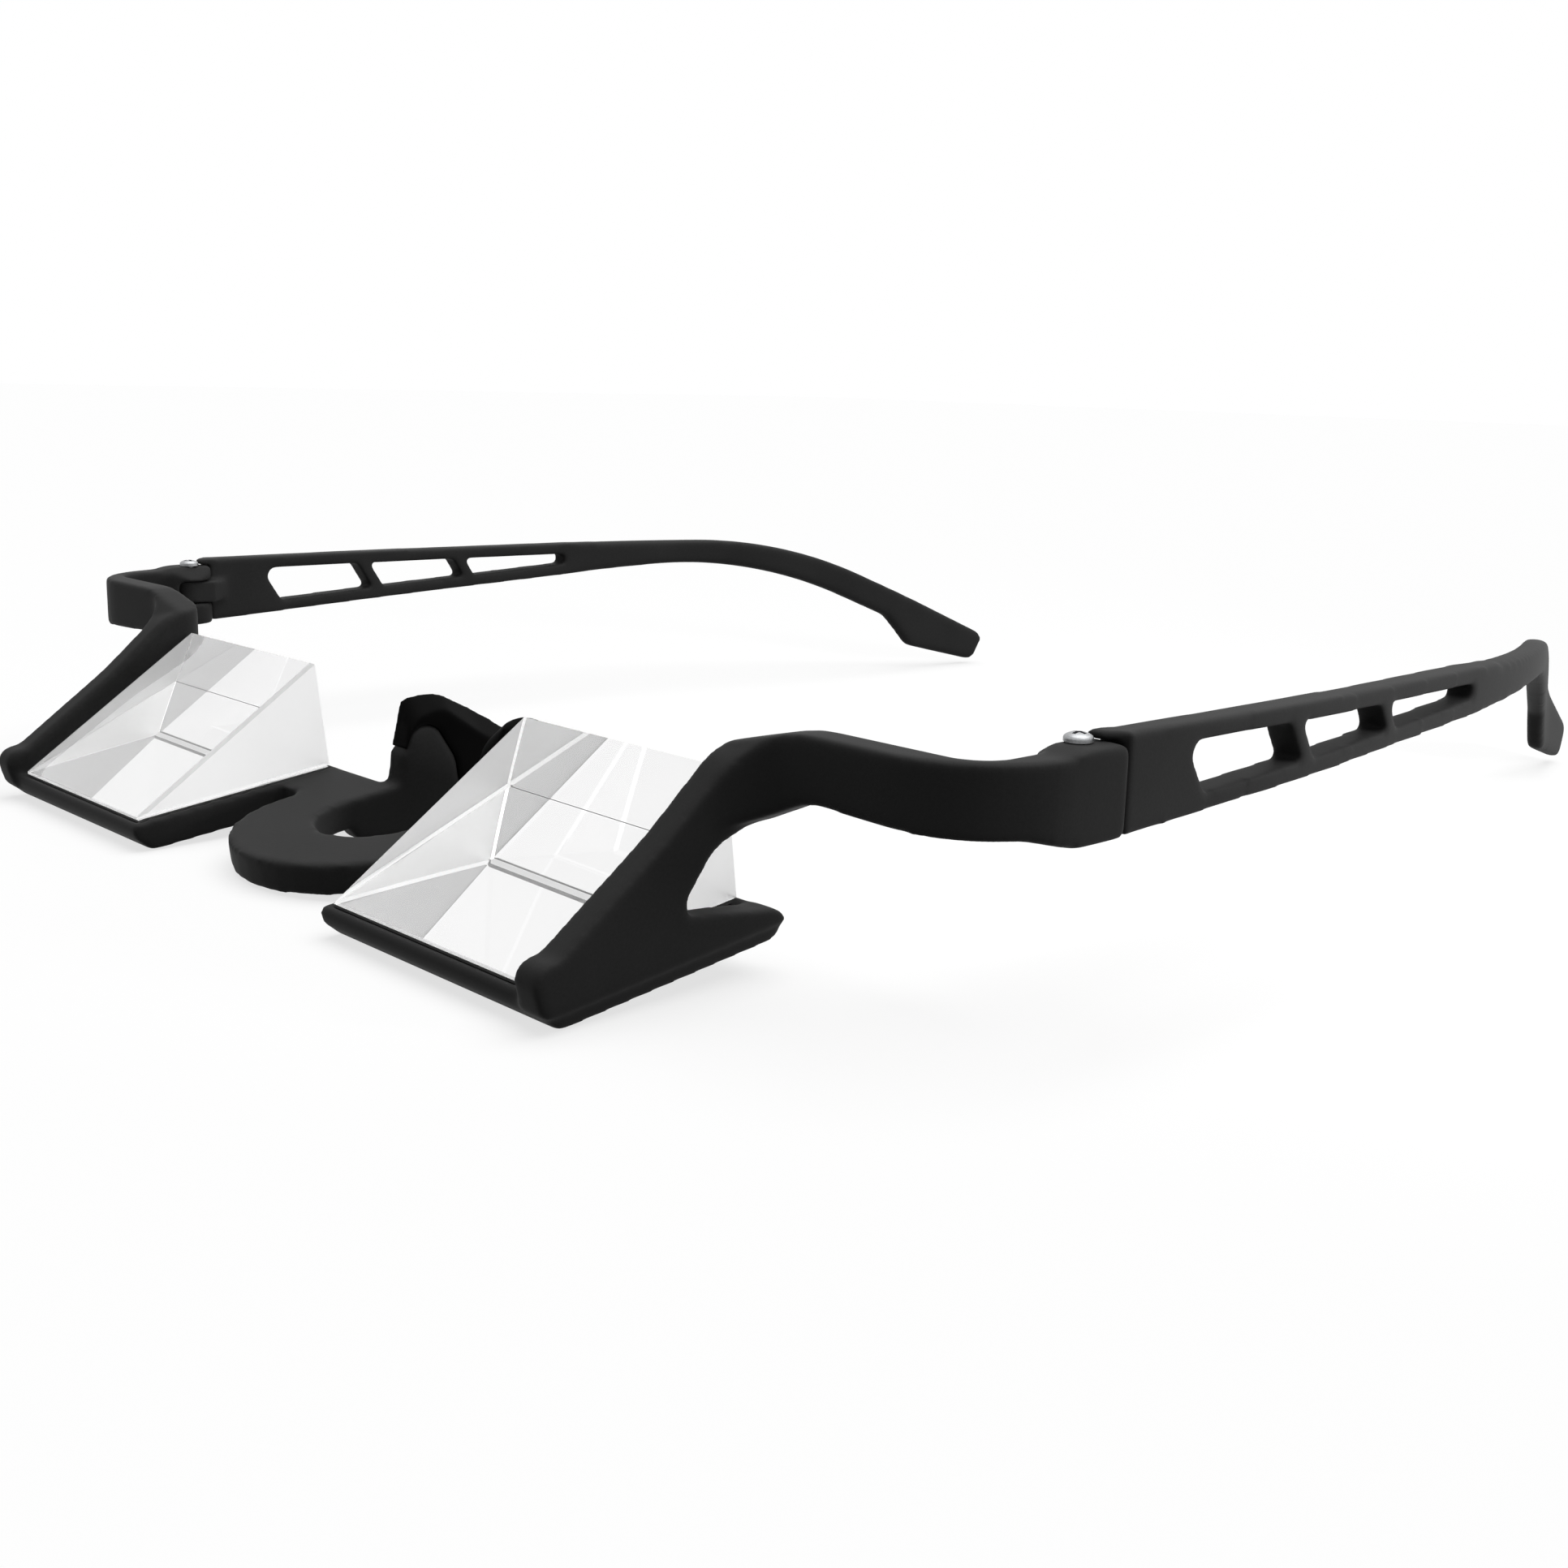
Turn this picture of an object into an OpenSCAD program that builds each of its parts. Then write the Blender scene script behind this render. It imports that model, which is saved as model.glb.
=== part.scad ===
// Belay glasses: two mirrored prisms in a one-piece front frame, with two folding temples.
// Millimetres. +X is the wearer's left, the front faces -Y, +Z is up, and the glasses stand on z = 0.

/* [Prisms] */
// Width of each prism
prism_w = 27; // [24:0.5:30]
// Depth of each prism, front edge to rear face
prism_d = 21.8; // [20.4:0.2:22.6]
// Height of the rear face of each prism
prism_h = 11.7; // [10.5:0.1:12.3]
// Space between the two prisms
prism_gap = 37.2; // [36:0.2:40]
// Thickness of the mirror under each prism
mirror_t = 0.3; // [0.2:0.05:0.5]
// Thickness of the adhesive under each mirror
bond_t = 0.3; // [0.2:0.05:0.5]

/* [Front frame] */
// Thickness of the tray floor under the adhesive
floor_t = 2.6; // [2:0.1:4]
// Depth of the lip in front of each prism
lip_d = 0.95; // [0.6:0.05:1.4]
// Width of the ledge beside each prism, towards the nose
ledge_w = 0.9; // [0.5:0.1:1.6]
// Thickness of each side wall
wall_t = 3.2; // [2.6:0.1:4]
// Space between each prism and its side wall
side_gap = 0.9; // [0.2:0.1:1.4]
// Height of the side wall above the front edge of the glass
wall_rise = 2.45; // [2:0.05:3.2]
// Thickness of the arm that runs out to each hinge
arm_t = 3.4; // [3:0.1:3.8]
// Height of the arm
arm_h = 5.3; // [4.8:0.1:6]
// Height of the arm's top edge above the front edge of the glass
arm_top = 18.3; // [17.6:0.1:19.4]
// Radius of the arm's outer corner
arm_corner_r = 10; // [7:0.5:10.5]
// Angle at which the trays lie when the glasses stand on a table
tilt = 7.2; // [6:0.2:8.4]

/* [Nose] */
// Width of the slot for the nose
slot_w = 12.6; // [11:0.2:13.4]
// Distance from the front edge of the glass to the round end of the slot
slot_front = 10; // [9:0.2:12]
// Thickness of the nose plate
plate_t = 3.05; // [2.5:0.05:3.4]
// Width of the rounded front of the nose plate
bridge_w = 27; // [24:0.5:30]
// Thickness of each nose wing
wing_t = 2.8; // [2.2:0.1:3.4]
// Thickness of the rubber over each wing
pad_t = 0.9; // [0.7:0.05:1.05]

/* [Temples] */
// Distance between the outer faces of the frame at the hinges
outer_w = 148.4; // [144:0.2:156]
// Depth from the front edge of the glass to the hinge axes
hinge_y = 32.3; // [31:0.1:36]
// Thickness of each temple
temple_t = 3; // [2.6:0.1:3.4]
// Thickness of each temple at its tip
tip_t = 2.2; // [1.8:0.1:3]
// Height of each temple at its tip
tip_h = 4.2; // [4:0.1:6]
// Height of each temple at the hinge
temple_h = 8.05; // [7.2:0.05:8.6]
// Length of each temple in front of the inward bend
shaft_l = 73.4; // [68:0.2:80]
// Length of each temple behind the inward bend
ear_l = 59.6; // [56:0.2:66]
// Distance from the inward bend to the start of the downward bend
drop_start = 22.2; // [18:0.2:28]
// Angle at which the ear piece drops
drop_angle = 24.5; // [20:0.5:26]
// Angle at which the ear piece leans inwards
lean_angle = 21.2; // [15:0.2:26]
// Length of the solid part between hinge seam and first cut-out
cutout_start = 7.6; // [6:0.1:12]
// Length of the first cut-out
first_cutout_l = 14.8; // [11:0.1:16]
// Length of the second cut-out
second_cutout_l = 13.7; // [11:0.1:16]
// Length of the last cut-out
last_cutout_l = 17.6; // [12:0.1:20]
// Width of the webs between the cut-outs
web_w = 1.9; // [1.4:0.1:3]
// Height of the solid strip above the cut-outs
rim_top = 1.6; // [1.2:0.1:2]
// Height of the solid strip below the cut-outs
rim_bottom = 1.65; // [1.1:0.05:2]

/* [Hinges] */
// Diameter of the hinge screw's shank
screw_d = 1.4; // [1.2:0.1:1.6]
// Diameter of the hinge screw's head
head_d = 2.3; // [2:0.1:3]
// Height of the hinge screw's head
head_h = 0.8; // [0.6:0.1:1.2]
// Outer radius of the frame's knuckles
knuckle_r = 2.65; // [2.5:0.05:2.8]
// Radius of the temple's tongue between the knuckles
tongue_r = 2.05; // [1.8:0.05:2.2]
// Height of the temple's tongue
tongue_h = 2.7; // [2.2:0.1:3]
// Height of the upper knuckle
upper_knuckle_h = 1.8; // [1.5:0.1:2.2]
// Outer diameter of the threaded sleeve in the lower knuckle
sleeve_d = 2.4; // [2.2:0.1:3]

/* [Hidden] */
$fn = 48;

// Clearances
glass_gap = 0.1; // between a prism and the walls of its tray
hinge_gap = 0.1; // between tongue and knuckles, and between temple and frame at the seam
shank_gap = 0.04; // around the screw's shank
sleeve_gap = 0.02; // around the threaded sleeve

// Trays, in the frame of the prisms: z = 0 is the underside of the glass, y = 0 its front edge
edge_flat = 0.25;
chamfer = 0.3;
glass_slope = atan((prism_h - edge_flat) / prism_d);
prism_in = prism_gap / 2;
wall_in = prism_in + prism_w + side_gap;
wall_out = wall_in + wall_t;
band_inset = 0.6;
band_rear = prism_d + 1.8;
floor_top = -(mirror_t + bond_t);
tray_bottom = floor_top - floor_t;
plate_top = tray_bottom + plate_t;
lip_top = floor_top + 0.4;
lip_toe = 0.6;
tray_rear = prism_d + 0.7;
tray_in = prism_in - glass_gap - ledge_w;
wall_foot = tray_bottom + 1.5;
slot_r = slot_w / 2;

// Arms and hinges, in the frame of the table: same origin, turned by the tilt
arm_rear = 22.3;
arm_front = arm_rear - arm_t;
arm_out = outer_w / 2;
arm_in = arm_out - arm_t;
arm_bottom = arm_top - arm_h;
skin_t = 0.86;
hinge_x = arm_out - skin_t - hinge_gap - tongue_r;
seam_y = hinge_y + knuckle_r + 0.07;
knuckle_top = arm_top + 0.4;
tongue_top = knuckle_top - upper_knuckle_h - hinge_gap;
tongue_bottom = tongue_top - tongue_h;
knuckle_bottom = arm_bottom - 1.65;
knuckle_fall = 2.6;
swell_front = hinge_y - 7;
sleeve_l = tongue_bottom - hinge_gap - knuckle_bottom - 0.2;
temple_front = seam_y + hinge_gap;
temple_top = knuckle_top + 0.8;
temple_bottom = temple_top - temple_h;
ground = turned([lip_toe, tray_bottom])[1];

// Helpers
function turned(p) = [p[0] * cos(tilt) - p[1] * sin(tilt), p[0] * sin(tilt) + p[1] * cos(tilt)];
function turned_corner(p) = concat(turned([p[0], p[1]]), p[2]);
function unit(v) = v / norm(v);
function near_turn(a) = a > 180 ? a - 360 : a < -180 ? a + 360 : a;
arc_step = 9;
arc_facet = 1.8;

// Points of one rounded corner at b, between a and c
function corner_arc(a, b, c, r) =
    let (u = unit(a - b), v = unit(c - b),
         half = acos(max(-1, min(1, u * v))) / 2,
         middle = b + unit(u + v) * r / sin(half),
         p = b + u * r / tan(half) - middle,
         q = b + v * r / tan(half) - middle,
         start = atan2(p[1], p[0]),
         sweep = near_turn(atan2(q[1], q[0]) - start),
         steps = max(2, ceil(abs(sweep) / arc_step), ceil(r * abs(sweep) * PI / 180 / arc_facet)))
    [for (i = [0 : steps]) middle + r * [cos(start + sweep * i / steps), sin(start + sweep * i / steps)]];

// Closed outline from corners given as [first, second, radius]
function rounded(corners) =
    let (n = len(corners))
    [for (i = [0 : n - 1])
        let (a = corners[(i + n - 1) % n], b = corners[i], c = corners[(i + 1) % n])
        each b[2] > 0 ? corner_arc([a[0], a[1]], [b[0], b[1]], [c[0], c[1]], b[2]) : [[b[0], b[1]]]];

// Open path from the same kind of corners, its two ends left as they are
function path(corners) =
    let (n = len(corners))
    [for (i = [0 : n - 1])
        let (a = corners[max(i - 1, 0)], b = corners[i], c = corners[min(i + 1, n - 1)])
        each i > 0 && i < n - 1 ? corner_arc([a[0], a[1]], [b[0], b[1]], [c[0], c[1]], b[2])
                                : [[b[0], b[1]]]];

// Outline of a strip along a path, with its width at each point of the path
function side_of(points, i) =
    let (n = len(points), d = unit(points[min(i + 1, n - 1)] - points[max(i - 1, 0)]))
    [-d[1], d[0]];
function strip(points, widths) =
    let (n = len(points))
    concat([for (i = [0 : n - 1]) points[i] + widths[i] / 2 * side_of(points, i)],
           [for (i = [0 : n - 1]) points[n - 1 - i] - widths[n - 1 - i] / 2 * side_of(points, n - 1 - i)]);

module along_x(x0, x1) {
    translate([x0, 0, 0]) rotate([90, 0, 90]) linear_extrude(x1 - x0) children();
}
module along_y(y0, y1) {
    translate([0, y1, 0]) rotate([90, 0, 0]) linear_extrude(y1 - y0) children();
}
module along_z(z0, z1) {
    translate([0, 0, z0]) linear_extrude(z1 - z0) children();
}
module tilted() {
    rotate([tilt, 0, 0]) children();
}
module both_sides() {
    children();
    mirror([1, 0, 0]) children();
}

// Outline of the side wall seen from the side, with the root of the arm and the prong below it
wall_profile = concat(
    [for (p = [[-1.2, wall_foot, 0.8], [-1.9, wall_rise + 0.3, 1.6], [0.8, wall_rise, 2],
               [prism_d - 9.8, prism_h - 3, 40]]) turned_corner(p)],
    [[18, arm_top - 1.8, 6], [arm_rear, arm_top - 1.8, 0.8], [arm_rear, arm_bottom - 2.6, 0.8]],
    [for (p = [[prism_d - 1.5, prism_h - 4.2, 6], [prism_d - 5.2, prism_h - 5.1, 4],
               [prism_d - 9.6, 2.1, 1.2], [prism_d - 3.9, 0.8, 6], [prism_d + 1.3, -0.5, 1.4],
               [prism_d + 2, wall_foot, 0.3]]) turned_corner(p)]);

// Outline of the arm from above, with the side wall in front of it
arm_fillet = 4;
arm_plan = [[wall_in, -10, 0], [wall_in, arm_rear, 3.4], [arm_in - 0.5, arm_rear, 3], [arm_in, seam_y, 0],
            [arm_out, seam_y, 0], [arm_out - 0.8, arm_front, arm_corner_r], [wall_out, arm_front, arm_fillet],
            [wall_out, -10, 0]];

// Heights of the arm along its way outwards, and along its way back to the hinge
arm_sag = 0.55;
ramp_y = 13;
ramp_z = 12.2;
ramp_rise = 38.6;
ramp_spread = 13.5;
ramp_size = 60;
arm_across = [[wall_in - 1, arm_top - 2.2, 0], [wall_in + 8, arm_top, 14], [arm_out + 2, arm_top, 0],
              [arm_out + 2, arm_bottom - arm_sag, 0], [arm_in - 1.5, arm_bottom - arm_sag, 6],
              [wall_in + 9.4, arm_bottom, 7],
              [wall_in + 2.6, arm_bottom - 3, 4], [wall_in - 1, arm_bottom - 3.6, 0]];
arm_back = [[arm_front - 2, arm_top, 0], [hinge_y - 4, arm_top, 6], [hinge_y - 2, knuckle_top, 4],
            [seam_y, knuckle_top, 0.6], [seam_y, knuckle_bottom, 0.5], [hinge_y - 3, knuckle_bottom, 3],
            [hinge_y - 7.5, arm_bottom - arm_sag, 6], [arm_front - 2, arm_bottom - arm_sag, 0]];

// Side outlines of one nose wing: its visible panel, its thinner tongue inside the rubber, and the pad
wing_foot = tray_bottom - 2.5;
wing_panel = [[16.4, tray_bottom, 0], [16.4, plate_top, 0], [22.7, plate_top, 0], [23.5, 3.3, 0.3],
              [23.9, 3.1, 0], [25.5, 6.2, 2], [28, 4.6, 1.6], [29.7, 1, 3], [29.9, wing_foot, 1.5],
              [22.6, wing_foot, 5], [17.3, tray_bottom - 1.5, 1]];
wing_tongue = [[22.9, tray_bottom + 1, 0], [25.6, 5, 2], [28.8, 5.3, 2], [31.6, 2.6, 1.5],
               [32.4, wing_foot + 1.4, 1.5], [28, wing_foot + 1.2, 0]];
pad_profile = [[24.4, plate_top, 0], [23.72, 3.1, 0], [27, 12, 0], [40, 12, 0], [39.4, -2, 1.6],
               [34.5, wing_foot, 4], [28, wing_foot, 0]];
pad_proud = 0.1;

// Top of the pad, given at its outer face. It falls towards the nose, and lies further forward there
pad_turn = 15;
pad_fall = 37.7;
function leaned(p) =
    [p[0] * cos(pad_turn), p[1] * cos(pad_fall) - p[0] * sin(pad_fall) * sin(pad_turn), p[2]];
pad_top = [for (p = [[20, 1.25, 0], [26.3, 8.7, 2.5], [29.6, 9.1, 3.2], [33.9, 5.2, 14], [46, -3.5, 0],
                     [46, -14, 0], [20, -14, 0]]) leaned(p)];
wing_in = slot_r;
wing_out = wing_in + wing_t;
wing_mid = wing_in + wing_t / 2;
pad_half = wing_t / 2 + pad_proud;
tongue_half = pad_half - pad_t;
pad_plan = [[wing_mid - pad_half, 20], [wing_mid - pad_half, 34], [wing_mid - 0.9, 41],
            [wing_mid + 0.9, 41], [wing_mid + pad_half, 34], [wing_mid + pad_half, 20]];

// Nose plate from above
bridge_r = bridge_w / 2;
bridge_front = 1.8;
bridge_side = 13.8;
plate_plan = concat(
    [for (a = [-180 : arc_step : 0])
        [bridge_r * cos(a), bridge_side + (bridge_side - bridge_front) * sin(a)]],
    rounded([[bridge_r, bridge_side + 0.1, 0], [bridge_r, bridge_side + 1.4, 1.3],
             [tray_in + 1, bridge_side + 1.4, 0], [tray_in + 1, tray_rear, 0],
             [-tray_in - 1, tray_rear, 0], [-tray_in - 1, bridge_side + 1.4, 0],
             [-bridge_r, bridge_side + 1.4, 1.3], [-bridge_r, bridge_side + 0.1, 0]]));

// Temple from above and from the side
bend_y = seam_y + shaft_l;
bend_x = arm_out - 2.9;
bow_x = arm_out - 1.1;
bow_y = seam_y + 27;
tip_y = bend_y + ear_l;
tip_l = 16;
tip_lean = lean_angle - 8.6;
straight_y = tip_y - tip_l;
straight_x = bend_x - (straight_y - bend_y) * tan(lean_angle);
temple_line = path([[arm_out - 0.25 - temple_t / 2, temple_front - 2, 0], [bow_x, bow_y, 260],
                    [bend_x, bend_y, 80], [straight_x, straight_y, 60],
                    [straight_x - (tip_l + 3) * tan(tip_lean), tip_y + 3, 0]]);
temple_widths = [for (p = temple_line)
    temple_t + (tip_t - temple_t) * max(0, min(1, (p[1] - bend_y + 8) / (ear_l - 10)))];
drop_y = bend_y + drop_start;
drop_z = temple_top - 0.75;
under_y = drop_y - 4.5;
under_z = temple_bottom + 4.6;
under_angle = drop_angle + 0.3;
paddle_y = drop_y + 17.8;
tip_slant = 2.6;
tip_r = 1.55;
tip_top = drop_z - (tip_y - drop_y) * tan(drop_angle);
tip_bottom = tip_top - tip_h;
temple_profile = rounded([
    [temple_front, temple_top, 0.2], [drop_y, drop_z, 65], [tip_y, tip_top, tip_r],
    [tip_y - tip_slant, tip_bottom, 1], [paddle_y + 4.2, tip_bottom + 3.1, 1.5],
    [paddle_y, under_z - (paddle_y - under_y) * tan(under_angle), 1.2], [under_y, under_z, 66],
    [temple_front, temple_bottom, 0.5]]);

// Tongue of the temple from above
tongue_plan = [[hinge_x - tongue_r, hinge_y - tongue_r, tongue_r],
               [hinge_x - tongue_r, temple_front - 0.4, 0], [arm_in + 0.6, temple_front + 3, 0],
               [hinge_x + tongue_r, temple_front + 3, 0],
               [hinge_x + tongue_r, hinge_y - tongue_r, tongue_r]];

// Ledge of the temple over the upper knuckle, behind the head of the screw
ledge_gap = 0.3;
ledge_front = hinge_y + head_d / 2 + ledge_gap;
ledge_in = arm_out - 0.25 - temple_t;
ledge_plan = [[ledge_in, ledge_front], [ledge_in + 1.3, ledge_front], [arm_out - 0.7, temple_front],
              [arm_out - 0.7, temple_front + 1], [ledge_in, temple_front + 1]];

// Cut-outs, their ends slanted. The first has a rounder nose
cutout_slant = 33;
cutout_round = 0.35;
cutout_nose = 1.1;
function top_edge(y) =
    temple_top - (y - temple_front) * (temple_top - drop_z) / (drop_y - temple_front) - rim_top;
function bottom_edge(y) =
    temple_bottom + (y - temple_front) * (under_z - temple_bottom) / (under_y - temple_front) + rim_bottom;
function slant_shift(y) = (top_edge(y) - bottom_edge(y)) * tan(cutout_slant);
function cutout(y0, y1, tail, nose = cutout_round) = rounded([
    [y0, top_edge(y0), nose], [y1, top_edge(y1), cutout_round],
    [y1 + tail * slant_shift(y1), bottom_edge(y1), cutout_round],
    [y0 + slant_shift(y0), bottom_edge(y0), cutout_round]]);

// Placing on the table
low_z = min([ground, min([for (p = temple_profile) p[1]])]);
front_y = min([for (p = rounded(wall_profile)) p[0]]);
middle_y = (front_y + tip_y) / 2;

module placed() {
    translate([0, -middle_y, -low_z]) children();
}

module tray() {
    tilted() {
        difference() {
            along_x(tray_in, wall_out - band_inset)
                polygon(rounded([
                    [lip_toe, tray_bottom, 0.25], [-lip_d, tray_bottom + 1.7, 0.7], [-lip_d, lip_top, 0.5],
                    [0.5, lip_top, 0], [1, plate_top, 0], [tray_rear, plate_top, 0.2],
                    [tray_rear, tray_bottom, 0.4]]));
            translate([prism_in - glass_gap, -glass_gap, floor_top])
                cube([prism_w + 2 * glass_gap + wall_t, prism_d + 2 * glass_gap, 5]);
        }
        along_x(wall_in + 0.2, wall_out - band_inset)
            polygon(rounded([
                [tray_rear - 2, tray_bottom, 0], [band_rear, tray_bottom, 1.8],
                [band_rear + 0.1, wall_foot + 0.3, 0], [tray_rear - 2, wall_foot + 0.3, 0]]));
    }
}

module side_wall() {
    intersection() {
        along_x(wall_in, wall_out) polygon(rounded(wall_profile));
        union() {
            along_z(arm_bottom - 5, arm_top + 1) polygon(rounded(arm_plan));
            translate([wall_in - 1, -10, ground - 1])
                cube([wall_t + 2, arm_rear + 20, arm_bottom - 4 - ground]);
        }
    }
}

module arm() {
    intersection() {
        along_z(knuckle_bottom - 3, knuckle_top + 1) polygon(rounded(arm_plan));
        union() {
            along_y(arm_front, arm_rear + 3) polygon(rounded(arm_across));
            intersection() {
                along_y(arm_front - arm_fillet, arm_front + 1) polygon(rounded(arm_across));
                below_ramp();
            }
            along_x(arm_in - 1.5, arm_out + 1) polygon(rounded(arm_back));
        }
    }
    knuckle_block();
}

// Space under a plane that rises rearwards and outwards, where the side wall sweeps into the arm
module below_ramp() {
    translate([wall_out, ramp_y, ramp_z])
        rotate([ramp_rise, -ramp_spread, 0])
            translate([-ramp_size / 3, -ramp_size / 3, -ramp_size])
                cube(ramp_size);
}

// Knuckles and the swell of the arm in front of them
module knuckle_block() {
    intersection() {
        knuckle_column();
        along_x(hinge_x - 12, arm_out + 1)
            polygon([[swell_front, arm_top - 2], [hinge_y - 1.8, knuckle_top], [seam_y + 1, knuckle_top],
                     [seam_y + 1, knuckle_bottom], [hinge_y - 2.4, knuckle_bottom],
                     [swell_front, arm_bottom - 0.2]]);
        along_y(swell_front - 1, seam_y + 1)
            polygon([[hinge_x - knuckle_r - 1, knuckle_top - knuckle_fall],
                     [hinge_x - head_d / 2 + 0.2, knuckle_top],
                     [arm_out + 1, knuckle_top], [arm_out + 1, knuckle_bottom],
                     [hinge_x - knuckle_r - 1, knuckle_bottom]]);
    }
}

module knuckle_column() {
    along_z(knuckle_bottom, knuckle_top) {
        translate([hinge_x, hinge_y]) circle(knuckle_r);
        polygon(rounded([[arm_in + 0.5, hinge_y - 6, 0], [arm_in - 0.3, hinge_y - 4.6, 2],
                         [hinge_x - knuckle_r, hinge_y - 1.2, 1.5], [hinge_x - knuckle_r, hinge_y, 0],
                         [arm_out - 0.5, hinge_y, 0]]));
    }
}

// Room for the temple's tongue, its swing, the screw and the threaded sleeve
module hinge_cut() {
    z0 = tongue_bottom - hinge_gap;
    z1 = tongue_top + hinge_gap;
    r = tongue_r + hinge_gap;
    translate([hinge_x, hinge_y, z0]) cylinder(r = r, h = z1 - z0);
    translate([hinge_x - 10, hinge_y, z0]) cube([10 + r, 10, z1 - z0]);
    translate([hinge_x - 10, hinge_y - r, z0]) cube([10, 10, z1 - z0]);
    translate([hinge_x, hinge_y, z0]) cylinder(d = screw_d + 2 * shank_gap, h = knuckle_top - z0 + 1);
    translate([hinge_x, hinge_y, knuckle_bottom - 1])
        cylinder(d = sleeve_d + 2 * sleeve_gap, h = z0 + 2 - knuckle_bottom);
}

module nose_plate() {
    tilted() {
        difference() {
            along_z(tray_bottom, plate_top) polygon(plate_plan);
            translate([0, slot_front + slot_r, tray_bottom - 1]) cylinder(r = slot_r, h = plate_t + 2);
            translate([-slot_r, slot_front + slot_r, tray_bottom - 1]) cube([slot_w, 20, plate_t + 2]);
        }
        both_sides() {
            along_x(wing_in, wing_out) polygon(rounded(wing_panel));
            along_x(wing_mid - tongue_half, wing_mid + tongue_half) polygon(rounded(wing_tongue));
        }
    }
}

module front_frame() {
    color("#2b2b2d")
        placed() {
            difference() {
                both_sides() {
                    tray();
                    side_wall();
                    arm();
                }
                both_sides() hinge_cut();
            }
            nose_plate();
        }
}

module prism() {
    color("#dceef2")
        placed()
            tilted()
                intersection() {
                    along_x(prism_in, prism_in + prism_w)
                        polygon([
                            [0, 0], [0, edge_flat],
                            [prism_d - chamfer * cos(glass_slope), prism_h - chamfer * sin(glass_slope)],
                            [prism_d, prism_h - chamfer], [prism_d, chamfer], [prism_d - chamfer, 0]]);
                    translate([0, 0, edge_flat])
                        rotate([glass_slope, 0, 0])
                            along_y(-prism_d, 2 * prism_d)
                                polygon([
                                    [prism_in, -2 * prism_h], [prism_in, -chamfer],
                                    [prism_in + chamfer, 0], [prism_in + prism_w - chamfer, 0],
                                    [prism_in + prism_w, -chamfer], [prism_in + prism_w, -2 * prism_h]]);
                }
}

module mirror_layer() {
    color("#c9ced2")
        placed()
            tilted()
                translate([prism_in, 0, -mirror_t])
                    cube([prism_w, prism_d - chamfer, mirror_t]);
}

module bond_layer() {
    color("#4a4a46")
        placed()
            tilted()
                translate([prism_in + 0.2, 0.2, floor_top])
                    cube([prism_w - 0.4, prism_d - chamfer - 0.4, bond_t]);
}

module nose_pad() {
    color("#18181a")
        placed()
            tilted()
                difference() {
                    intersection() {
                        along_x(wing_in - 1, wing_out + 1) polygon(rounded(pad_profile));
                        along_z(wing_foot - 1, prism_h) polygon(pad_plan);
                        translate([wing_mid + pad_half, 0, 0])
                            rotate([0, -pad_fall, pad_turn])
                                along_x(-15, 10) polygon(rounded(pad_top));
                    }
                    along_x(wing_mid - tongue_half, wing_mid + tongue_half) polygon(rounded(wing_tongue));
                    along_x(wing_in - 1, wing_out + 1) polygon(rounded(wing_panel));
                }
}

module temple() {
    color("#2b2b2d")
        placed() {
            difference() {
                union() {
                    intersection() {
                        along_z(ground - 1, temple_top + 1) polygon(strip(temple_line, temple_widths));
                        along_x(0, arm_out + 5) polygon(temple_profile);
                    }
                    along_z(tongue_bottom, tongue_top) polygon(rounded(tongue_plan));
                    along_z(knuckle_top + hinge_gap, temple_top) polygon(ledge_plan);
                }
                cutouts();
                translate([hinge_x, hinge_y, tongue_bottom - 1])
                    cylinder(d = screw_d + 2 * shank_gap, h = tongue_h + 2);
            }
        }
}

module cutouts() {
    first = seam_y + cutout_start;
    second = first + first_cutout_l + web_w;
    third = second + second_cutout_l + web_w;
    along_x(0, arm_out + 5) {
        polygon(cutout(first, first + first_cutout_l, 1, cutout_nose));
        polygon(cutout(second, second + second_cutout_l, 1));
        polygon(cutout(third, third + last_cutout_l, 0));
    }
}

module hinge_screw() {
    shank_l = knuckle_top - knuckle_bottom - 0.9;
    recess_w = 0.36;
    recess_l = 1.5;
    recess_depth = 0.45;
    color("#b9bcc0")
        placed()
            translate([hinge_x, hinge_y, knuckle_top]) {
                difference() {
                    cylinder(d = head_d, h = head_h);
                    translate([-recess_l / 2, -recess_w / 2, head_h - recess_depth])
                        cube([recess_l, recess_w, 1]);
                    translate([-recess_w / 2, -recess_l / 2, head_h - recess_depth])
                        cube([recess_w, recess_l, 1]);
                }
                translate([0, 0, -shank_l]) cylinder(d = screw_d, h = shank_l + 0.1);
            }
}

module hinge_insert() {
    color("#b08d4f")
        placed()
            translate([hinge_x, hinge_y, knuckle_bottom])
                difference() {
                    cylinder(d = sleeve_d, h = sleeve_l);
                    translate([0, 0, -1]) cylinder(d = screw_d + 2 * sleeve_gap, h = sleeve_l + 2);
                }
}

front_frame();
prism();  // prism_left
mirror([1, 0, 0]) prism();  // prism_right
mirror_layer();  // mirror_layer_left
mirror([1, 0, 0]) mirror_layer();  // mirror_layer_right
bond_layer();  // bond_layer_left
mirror([1, 0, 0]) bond_layer();  // bond_layer_right
nose_pad();  // nose_pad_left
mirror([1, 0, 0]) nose_pad();  // nose_pad_right
temple();  // temple_left
mirror([1, 0, 0]) temple();  // temple_right
hinge_screw();  // hinge_screw_left
mirror([1, 0, 0]) hinge_screw();  // hinge_screw_right
hinge_insert();  // hinge_insert_left
mirror([1, 0, 0]) hinge_insert();  // hinge_insert_right
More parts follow.
